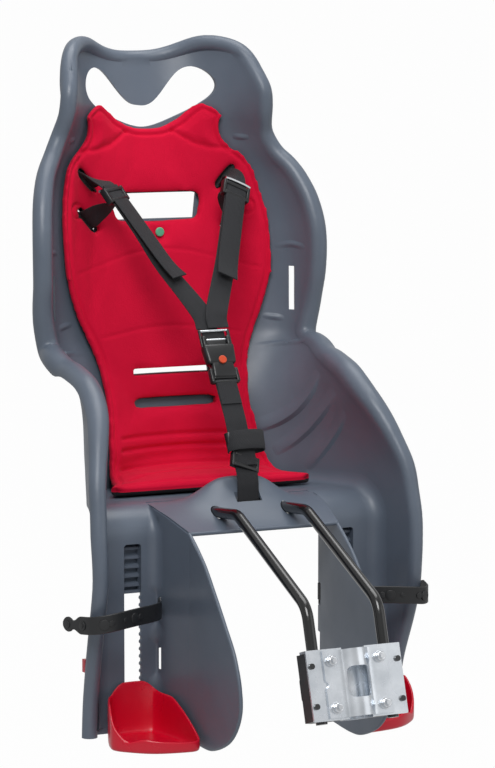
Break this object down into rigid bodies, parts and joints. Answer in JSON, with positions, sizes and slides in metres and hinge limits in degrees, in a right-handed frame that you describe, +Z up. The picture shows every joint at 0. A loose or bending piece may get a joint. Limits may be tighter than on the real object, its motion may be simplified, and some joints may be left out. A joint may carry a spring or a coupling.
{
  "type": "child bike seat",
  "caption": "Rear child seat for a bicycle: moulded shell with padded back, harness with buckle, sliding footrests with straps, and a wire carrier in a seat-tube bracket.",
  "frame": {"origin": "middle of the seat-tube clamp, on the tube's axis", "axes": "+Z up, -Y the way the child faces, +X to the child's left; the tube leans back by 17 degrees in the YZ plane"},
  "size_m": [0.4242, 0.5875, 0.7456],
  "materials": {
    "shell": "satin moulded plastic",
    "pad": "foam with a woven cover",
    "rivet": "gloss",
    "webbing": "woven webbing",
    "black_plastic": "moulded",
    "buckle_button": "gloss",
    "red_plastic": "gloss",
    "rubber": "matt",
    "black_steel": "gloss paint",
    "zinc": "zinc plated",
    "dark_steel": "black finish"
  },
  "bodies": {
    "bracket": {"base_plate": "zinc", "clamp_plate": "zinc", "lock_block": "black_plastic", "clamp_bolts": "zinc", "clamp_nuts": "zinc", "block_screws": "dark_steel"},
    "release": {"release_bar": "black_plastic"},
    "button": {"buckle_button": "buckle_button"},
    "footrest_left": {"footrest_left": "red_plastic", "lock_pin_left": "zinc"},
    "footrest_right": {"footrest_right": "red_plastic", "lock_pin_right": "zinc"},
    "lock_left": {"footrest_lock_left": "red_plastic"},
    "lock_right": {"footrest_lock_right": "red_plastic"},
    "seat": {"seat_shell": "shell", "seat_pad": "pad", "pad_rivet": "rivet", "shoulder_strap_left": "webbing", "shoulder_strap_right": "webbing", "strap_adjuster_left": "black_plastic", "strap_adjuster_right": "black_plastic", "strap_anchor_left": "black_plastic", "strap_anchor_right": "black_plastic", "buckle_body": "black_plastic", "buckle_tongue": "zinc", "crotch_strap": "webbing", "crotch_adjuster": "black_plastic", "strap_keeper": "black_plastic", "crotch_anchor": "black_plastic", "foot_strap_left": "rubber", "foot_strap_right": "rubber", "carrier_bow": "black_steel", "bow_plate": "black_plastic", "bow_screws": "zinc"}
  },
  "joints": [
    {"name": "seat_lift_off", "type": "slide", "parent": "bracket", "child": "seat", "axis": [0, 0.2924, 0.9563], "range_m": [0, 0.085]},
    {"name": "release_pull", "type": "slide", "parent": "bracket", "child": "release", "axis": [0, 0.9563, -0.2924], "range_m": [0, 0.005], "stiffness_N_per_m": 1500, "springref_m": -0.002},
    {"name": "buckle_press", "type": "slide", "parent": "seat", "child": "button", "axis": [0, 0.8601, -0.5101], "range_m": [0, 0.0022], "stiffness_N_per_m": 1500, "springref_m": -0.001},
    {"name": "footrest_left_slide", "type": "slide", "parent": "seat", "child": "footrest_left", "axis": [0, 0, 1], "range_m": [0, 0.06]},
    {"name": "footrest_right_slide", "type": "slide", "parent": "seat", "child": "footrest_right", "axis": [0, 0, 1], "range_m": [0, 0.06]},
    {"name": "lock_left_turn", "type": "hinge", "parent": "footrest_left", "child": "lock_left", "pos_m": [0.1193, 0.2825, -0.058], "axis": [0, 0, 1], "range_deg": [0, 15], "stiffness_Nm_per_rad": 0.2, "springref_deg": -2.86},
    {"name": "lock_right_turn", "type": "hinge", "parent": "footrest_right", "child": "lock_right", "pos_m": [-0.1193, 0.2825, -0.058], "axis": [0, 0, -1], "range_deg": [0, 15], "stiffness_Nm_per_rad": 0.2, "springref_deg": -2.86}
  ]
}
